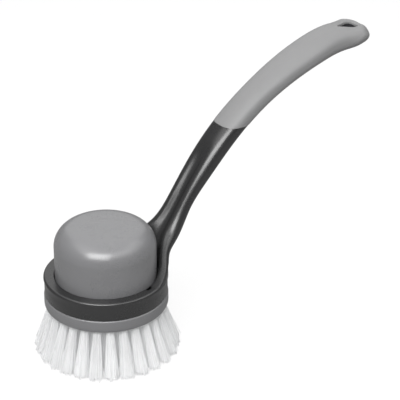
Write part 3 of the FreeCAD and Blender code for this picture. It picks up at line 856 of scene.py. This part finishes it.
class BRUSH_OT_dome(bpy.types.Operator):
    """Models the palm dome with its two keys"""

    bl_idname = "brush.dome"
    bl_label = "Palm dome"

    def execute(self, context):
        sizes = context.scene.brush_sizes
        bm = bmesh.new()
        floor, top = DOME_LOW.z, DOME_HIGH.z
        radius, edge, crown = sizes.dome_radius, sizes.dome_round, sizes.dome_crown
        sphere = (radius ** 2 + crown ** 2) / (2 * crown)
        lean = math.asin((radius - edge) / (sphere - edge))
        vert = bm.verts.new((0.0, 0.0, top))
        vert = self.arc(bm, vert, (0.0, 0.0, top - sphere), lean, CROWN_STEPS)
        level = top - sphere + math.sqrt((sphere - edge) ** 2 - (radius - edge) ** 2)
        vert = self.arc(bm, vert, (radius - edge, 0.0, level), math.pi / 2 - lean, EDGE_STEPS)
        for spot in ((radius, 0.0, floor), (0.0, 0.0, floor)):
            made = bmesh.ops.extrude_vert_indiv(bm, verts=[vert])
            vert = made["verts"][0]
            vert.co = spot
        spin_full(bm, bm.edges[:], TURN_STEPS)
        for side in (-1, 1):
            self.key(bm, radius, KEY_TURN * side)
        material = satin_plastic("head_plastic", context.scene.brush_colours.head_plastic, 0.28)
        make_piece(bm, "palm_dome_shell", material, "brush_head", ["palm_dome"])
        return {"FINISHED"}

    def arc(self, bm, vert, centre, angle, steps):
        """Draws an arc from a vertex round a centre in the XZ plane; gives its last vertex."""
        made = bmesh.ops.spin(bm, geom=[vert], cent=centre, axis=(0, 1, 0), angle=angle, steps=steps)
        return next(part for part in made["geom_last"] if isinstance(part, bmesh.types.BMVert))

    def key(self, bm, radius, turn):
        """Adds an upright key rib on the dome's wall."""
        made = bmesh.ops.create_cube(bm, size=1.0)["verts"]
        depth, width, proud = 2.6 * MM, 3.0 * MM, 1.5 * MM
        low, high = 35.1 * MM, 42.3 * MM
        bmesh.ops.scale(bm, verts=made, vec=(depth, width, high - low))
        middle = Vector((radius + proud - depth / 2, 0.0, (low + high) / 2))
        bmesh.ops.translate(bm, verts=made, vec=middle)
        bmesh.ops.rotate(bm, verts=made, cent=(0, 0, 0), matrix=Matrix.Rotation(turn, 3, "Z"))
        edges = list({edge for vert in made for edge in vert.link_edges})
        bmesh.ops.bevel(
            bm, geom=edges, affect="EDGES", offset=BROKEN_EDGE, segments=2, profile=0.5, material=-1
        )


class BRUSH_OT_plate(bpy.types.Operator):
    """Models the tuft plate under the ring"""

    bl_idname = "brush.plate"
    bl_label = "Tuft plate"

    def execute(self, context):
        bm = bmesh.new()
        floor = PLATE_LOW.z
        radius = PLATE_HIGH.x
        top = DOME_LOW.z
        corners = [(0.0, floor), (radius, floor), (radius, top), (0.0, top)]
        lower_round, upper_round = (2.2 * MM, 8), (0.9 * MM, 5)
        edges = outline(bm, corners, [(0, 0), lower_round, upper_round, (0, 0)])
        spin_full(bm, edges, TURN_STEPS)
        material = satin_plastic("plate_plastic", context.scene.brush_colours.head_plastic, 0.34)
        make_piece(bm, "tuft_plate_rim", material, "brush_head", ["tuft_plate"])
        return {"FINISHED"}


# Rings of tufts: name, radius in millimetres, count, lean in degrees, tip radius in millimetres,
# filaments in a tuft and the nodes that the ring stands for.
TUFT_RINGS = (
    ("outer_ring_bristles", 28.6, 27, 15.0, 3.9, 120, OUTER_TUFTS),
    ("second_ring_bristles", 21.45, 20, 9.0, 3.6, 70, ["second_ring_tufts"]),
    ("third_ring_bristles", 14.3, 13, 6.0, 3.67, 50, ["third_ring_tufts"]),
    ("inner_ring_bristles", 7.15, 7, 3.0, 3.32, 50, ["inner_ring_tufts"]),
    ("centre_bristles", 0.0, 1, 0.0, 3.32, 50, ["centre_tuft"]),
)
# Radius of a tuft at its root, and how it opens towards its tip.
TUFT_ROOT = 2.05 * MM
TUFT_SPREAD = 1.2
# Packed core of a tuft: its share of the radius, and how much shorter it is than the tuft.
CORE_SHARE = 0.86
CORE_SHORT = 1.8 * MM
# Different tufts that are made for a ring and set round it in mixed order.
TUFT_KINDS = 5
# First seed of the random draws; each ring has its own.
TUFT_SEED = 40
# Sides and steps of a filament and of a core.
STRAND_SIDES, STRAND_STEPS = 4, 5
CORE_SIDES, CORE_STEPS = 20, 6
# Loose filaments: share of the tuft's area that they leave to the core, share of the root's radius
# that they fill, their reach up into the plate and the range of their thickness.
LOOSE_FROM = 0.3
LOOSE_ROOT = 0.96
LOOSE_SINK = 0.5 * MM
LOOSE_THICKNESS = (0.85, 1.1)
# Their chances in millimetres: wander of the tips, bow, unevenness of the ends and shortness
# of the outer ones; then the share of strays and how much more those wander.
TIP_WANDER = 0.36
STRAND_BOW = 0.14
END_UNEVEN = 0.7
END_SHORT = 0.5
STRAY_SHARE = 0.06
STRAY_WANDER = 2.2


class BRUSH_OT_bristles(bpy.types.Operator):
    """Models the tufts of filaments, ring by ring"""

    bl_idname = "brush.bristles"
    bl_label = "Bristles"

    def execute(self, context):
        sizes = context.scene.brush_sizes
        material = nylon("bristle_nylon", context.scene.brush_colours.nylon)
        strand = self.strand()
        for index, (name, radius, count, lean, tip, filaments, nodes) in enumerate(TUFT_RINGS):
            chance = random.Random(TUFT_SEED + index)
            lean = math.radians(lean)
            kinds = range(min(count, TUFT_KINDS))
            masters = [self.tuft(chance, strand, sizes, lean, tip * MM, filaments) for _ in kinds]
            bm = bmesh.new()
            bm.verts.layers.float.new("strand")
            for place in range(count):
                first = len(bm.verts)
                bm.from_mesh(masters[chance.randrange(len(masters))])
                bm.verts.ensure_lookup_table()
                around = Matrix.Rotation(2 * math.pi * place / count, 4, "Z")
                flip = Matrix.Scale(chance.choice((-1, 1)), 4, (0, 1, 0))
                place_out = Matrix.Translation((radius * MM, 0, PLATE_LOW.z))
                turn = around @ place_out @ Matrix.Rotation(-lean, 4, "Y") @ flip
                bmesh.ops.transform(bm, matrix=turn, verts=bm.verts[first:])
            bmesh.ops.recalc_face_normals(bm, faces=bm.faces[:])
            for master in masters:
                bpy.data.meshes.remove(master)
            make_piece(bm, name, material, "brush_head", nodes)
        bpy.data.meshes.remove(strand)
        return {"FINISHED"}

    def strand(self):
        """A straight filament of unit thickness and length, hanging down and closed at its tip."""
        bm = bmesh.new()
        bmesh.ops.create_circle(bm, cap_ends=False, segments=STRAND_SIDES, radius=0.5)
        self.draw_down(bm, bm.edges[:], STRAND_STEPS)
        mesh = bpy.data.meshes.new("strand")
        bm.to_mesh(mesh)
        bm.free()
        return mesh

    def draw_down(self, bm, edges, steps):
        """Extrudes a loop one length down in equal steps and closes its end."""
        for _ in range(steps):
            verts, edges = extruded(bm, edges)
            bmesh.ops.translate(bm, verts=verts, vec=(0, 0, -1 / steps))
        bmesh.ops.edgeloop_fill(bm, edges=edges)

    def tuft(self, chance, strand, sizes, lean, tip, filaments):
        """One tuft: a packed core inside loose filaments that spread and end near the ground."""
        bm = bmesh.new()
        tone_and_shade_layer = bm.verts.layers.float.new("strand")
        root = TUFT_ROOT

        def reach(out, short):
            return (PLATE_LOW.z + out * math.sin(lean) - short) / math.cos(lean)

        core = bmesh.ops.create_circle(bm, cap_ends=False, segments=CORE_SIDES, radius=1.0)["verts"]
        self.draw_down(bm, list({edge for vert in core for edge in vert.link_edges}), CORE_STEPS)
        for vert in bm.verts:
            share = -vert.co.z
            size = CORE_SHARE * (root + (tip - root) * share ** TUFT_SPREAD)
            # The packed core takes strand tone 0, the greyest: painted shade for the inside of the tuft, seen
            # in the gaps between tufts.
            vert[tone_and_shade_layer] = 0.0
            vert.co = (vert.co.x * size, vert.co.y * size, -share * reach(vert.co.x * size, CORE_SHORT))

        for _ in range(filaments):
            angle = chance.uniform(0, 2 * math.pi)
            out = math.sqrt(chance.uniform(LOOSE_FROM, 1.0))
            facing = Vector((math.cos(angle), math.sin(angle), 0))
            stray = STRAY_WANDER if chance.random() < STRAY_SHARE else 1.0
            wander = Vector((chance.gauss(0, TIP_WANDER), chance.gauss(0, TIP_WANDER), 0)) * (MM * stray)
            spot_root = facing * (out * root * LOOSE_ROOT)
            spot_tip = facing * (out * tip) + wander
            bow = Vector((chance.gauss(0, STRAND_BOW), chance.gauss(0, STRAND_BOW), 0)) * MM
            short = (abs(chance.gauss(0, END_UNEVEN)) + END_SHORT * out * chance.random()) * MM
            length = reach(spot_tip.x, short)
            thick = sizes.filament * chance.uniform(*LOOSE_THICKNESS)
            tone = chance.random()
            first = len(bm.verts)
            bm.from_mesh(strand)
            bm.verts.ensure_lookup_table()
            for vert in bm.verts[first:]:
                share = -vert.co.z
                spot = spot_root.lerp(spot_tip, share ** TUFT_SPREAD) + bow * (4 * share * (1 - share))
                height = LOOSE_SINK * (1 - share) - length * share
                vert[tone_and_shade_layer] = tone
                vert.co = (spot.x + vert.co.x * thick, spot.y + vert.co.y * thick, height)
        mesh = bpy.data.meshes.new("tuft")
        bm.to_mesh(mesh)
        bm.free()
        return mesh


class BRUSH_OT_anchors(bpy.types.Operator):
    """Gives the wire anchors in the tuft holes their finish"""

    bl_idname = "brush.anchors"
    bl_label = "Wire anchors"

    def execute(self, context):
        material = drawn_wire("anchor_wire", context.scene.brush_colours.wire)
        for name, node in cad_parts.items():
            if name.endswith("_anchors") or name == "centre_anchor":
                node.data.materials.clear()
                node.data.materials.append(material)
        return {"FINISHED"}


# Softboxes: name, turn from the front and height in degrees, distance, width, height and power in watts.
SOFTBOXES = (
    ("key_softbox", -54.0, 43.0, 0.8, 0.62, 0.38, 4.6),
    ("wide_softbox", -20.0, 50.0, 1.0, 1.8, 0.5, 3.0),
    ("overhead_softbox", -36.0, 85.0, 1.0, 1.8, 1.8, 8.2),
    ("back_softbox", 146.0, 34.0, 1.3, 1.4, 1.0, 3.2),
    ("right_softbox", 62.0, 46.0, 1.1, 0.9, 0.6, 1.6),
    ("left_softbox", -108.0, 58.0, 1.1, 0.9, 0.6, 1.2),
)
# Spot that the softboxes face, and the camera's place, turn, tilt and lens.
LIGHT_AIM = Vector((0.04, 0.0, 0.07))
CAMERA_PLACE = (-0.4680, -0.7291, 0.5473)
CAMERA_TURN = -36.0
CAMERA_TILT = 28.0
SENSOR = 36.0
LENS = SENSOR * 1886.0 / 400.0


def direction(turn, rise):
    """Direction from the brush at a turn from the front and a height, both in degrees."""
    turn, rise = math.radians(turn), math.radians(rise)
    return Vector((math.sin(turn) * math.cos(rise), -math.cos(turn) * math.cos(rise), math.sin(rise)))


class BRUSH_OT_stage(bpy.types.Operator):
    """Sets up the pale floor, the soft lights and the camera"""

    bl_idname = "brush.stage"
    bl_label = "Stage"

    def execute(self, context):
        scene = context.scene
        bm = bmesh.new()
        bmesh.ops.create_grid(bm, x_segments=8, y_segments=8, size=3.0)
        mesh = bpy.data.meshes.new("floor")
        bm.to_mesh(mesh)
        bm.free()
        floor = bpy.data.objects.new("floor", mesh)
        scene.collection.objects.link(floor)
        floor.data.materials.append(self.pale_floor())

        world = bpy.data.worlds.new("studio")
        world.use_nodes = True
        background = world.node_tree.nodes["Background"]
        background.inputs["Color"].default_value = (1, 1, 1, 1)
        background.inputs["Strength"].default_value = 0.2
        scene.world = world
        for softbox in SOFTBOXES:
            self.softbox(*softbox)

        data = bpy.data.cameras.new("camera")
        data.sensor_width = SENSOR
        data.lens = LENS
        data.clip_start = 0.05
        camera = bpy.data.objects.new("camera", data)
        self.stand(camera, CAMERA_PLACE, direction(CAMERA_TURN, CAMERA_TILT))
        scene.camera = camera
        scene.view_settings.view_transform = "Standard"
        return {"FINISHED"}

    def stand(self, thing, spot, back):
        """Puts a lamp or the camera in the scene with its back to a direction."""
        thing.location = spot
        thing.rotation_mode = "QUATERNION"
        thing.rotation_quaternion = (-back).to_track_quat("-Z", "Y")
        bpy.context.scene.collection.objects.link(thing)

    def softbox(self, name, turn, rise, distance, width, height, power):
        """Adds a soft lamp that faces the brush."""
        data = bpy.data.lights.new(name, "AREA")
        data.shape = "RECTANGLE"
        data.size = width
        data.size_y = height
        data.energy = power
        lamp = bpy.data.objects.new(name, data)
        way = direction(turn, rise)
        self.stand(lamp, LIGHT_AIM + way * distance, way)

    def pale_floor(self):
        """Floor that looks white to the camera, with a faint shadow, and throws little light back."""
        finish = Finish("pale_floor")
        speckle = finish.noise(30.0, 2.0, 0.5)
        pale = finish.mix(speckle, (0.86, 0.86, 0.86, 1), (0.9, 0.9, 0.9, 1))
        seen = finish.node("ShaderNodeLightPath", {}, {}, "Is Camera Ray")
        through = finish.node("ShaderNodeLightPath", {}, {}, "Is Transmission Ray")
        facing = (seen + through).clamped()
        colour = finish.mix(facing, (0.3, 0.3, 0.3, 1), pale)
        plain = finish.node("ShaderNodeBsdfDiffuse", {}, {"Color": colour})
        glow = finish.node("ShaderNodeEmission", {}, {"Color": (1, 1, 1, 1), "Strength": 1.03})
        finish.node_output(finish.node("ShaderNodeMixShader", {}, {0: facing * 0.8, 1: plain, 2: glow}))
        return finish.material


class BRUSH_PT_panel(bpy.types.Panel):
    """Sizes, colours and the steps that build the brush"""

    bl_idname = "BRUSH_PT_panel"
    bl_label = "Dish brush"
    bl_space_type = "VIEW_3D"
    bl_region_type = "UI"
    bl_category = "Dish brush"

    def draw(self, context):
        for group in (context.scene.brush_sizes, context.scene.brush_colours):
            for name in group.bl_rna.properties.keys():
                if name not in ("rna_type", "name"):
                    self.layout.prop(group, name)
        for step in STEPS:
            self.layout.operator(step.bl_idname)


STEPS = (
    BRUSH_OT_frame,
    BRUSH_OT_grip,
    BRUSH_OT_eye,
    BRUSH_OT_dome,
    BRUSH_OT_plate,
    BRUSH_OT_bristles,
    BRUSH_OT_anchors,
    BRUSH_OT_stage,
)
CLASSES = (BrushSizes, BrushColours) + STEPS + (BRUSH_PT_panel,)


def register():
    for kind in CLASSES:
        bpy.utils.register_class(kind)
    bpy.types.Scene.brush_sizes = PointerProperty(type=BrushSizes)
    bpy.types.Scene.brush_colours = PointerProperty(type=BrushColours)


def unregister():
    del bpy.types.Scene.brush_colours
    del bpy.types.Scene.brush_sizes
    for kind in reversed(CLASSES):
        bpy.utils.unregister_class(kind)


def main():
    register()
    bpy.ops.brush.frame()
    bpy.ops.brush.grip()
    bpy.ops.brush.eye()
    bpy.ops.brush.dome()
    bpy.ops.brush.plate()
    bpy.ops.brush.bristles()
    bpy.ops.brush.anchors()
    bpy.ops.brush.stage()


if __name__ == "__main__":
    main()
